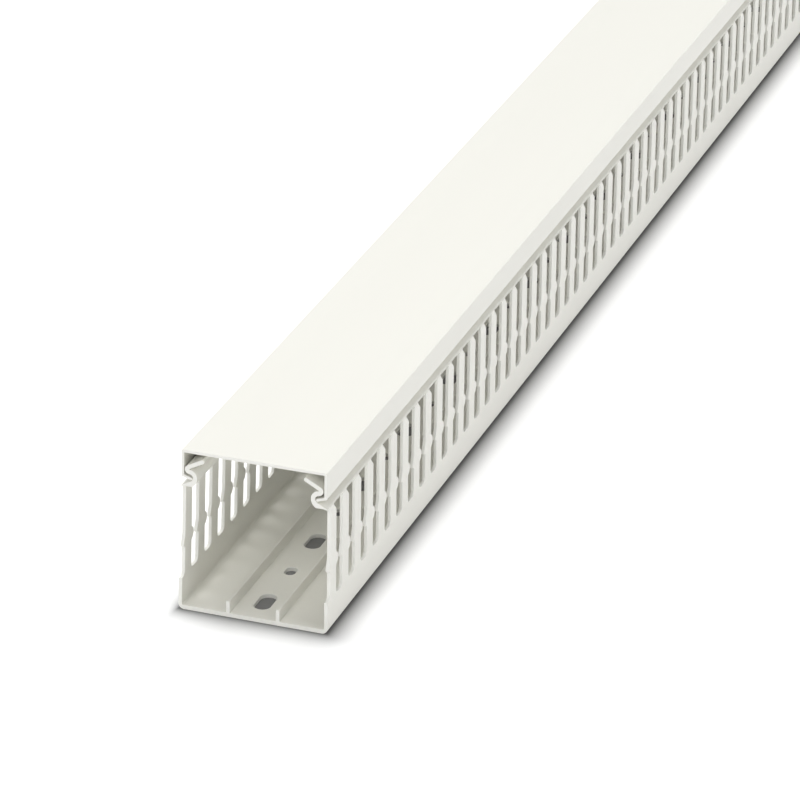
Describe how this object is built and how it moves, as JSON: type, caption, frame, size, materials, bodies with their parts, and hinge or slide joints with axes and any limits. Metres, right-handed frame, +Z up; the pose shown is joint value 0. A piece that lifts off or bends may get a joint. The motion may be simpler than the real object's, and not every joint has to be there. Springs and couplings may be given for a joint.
{
  "type": "slotted wiring duct",
  "caption": "Slotted wiring duct in light plastic: a channel with open finger side walls, floor ribs and punched oblong floor holes, closed by a clip-on cover.",
  "frame": {"origin": "middle of the underside", "axes": "+X across the duct, +Y along it, +Z up out of the channel's mouth"},
  "size_m": [0.054, 1, 0.06],
  "materials": {
    "rigid_pvc": "light warm grey-white extruded rigid PVC, satin, with faint lengthwise lines"
  },
  "bodies": {
    "channel_body": {"channel": "rigid_pvc"},
    "cover_body": {"cover": "rigid_pvc"}
  },
  "joints": [
    {"name": "cover_slide", "type": "slide", "parent": "channel_body", "child": "cover_body", "axis": [0, 1, 0], "range_m": [-1, 1]}
  ]
}
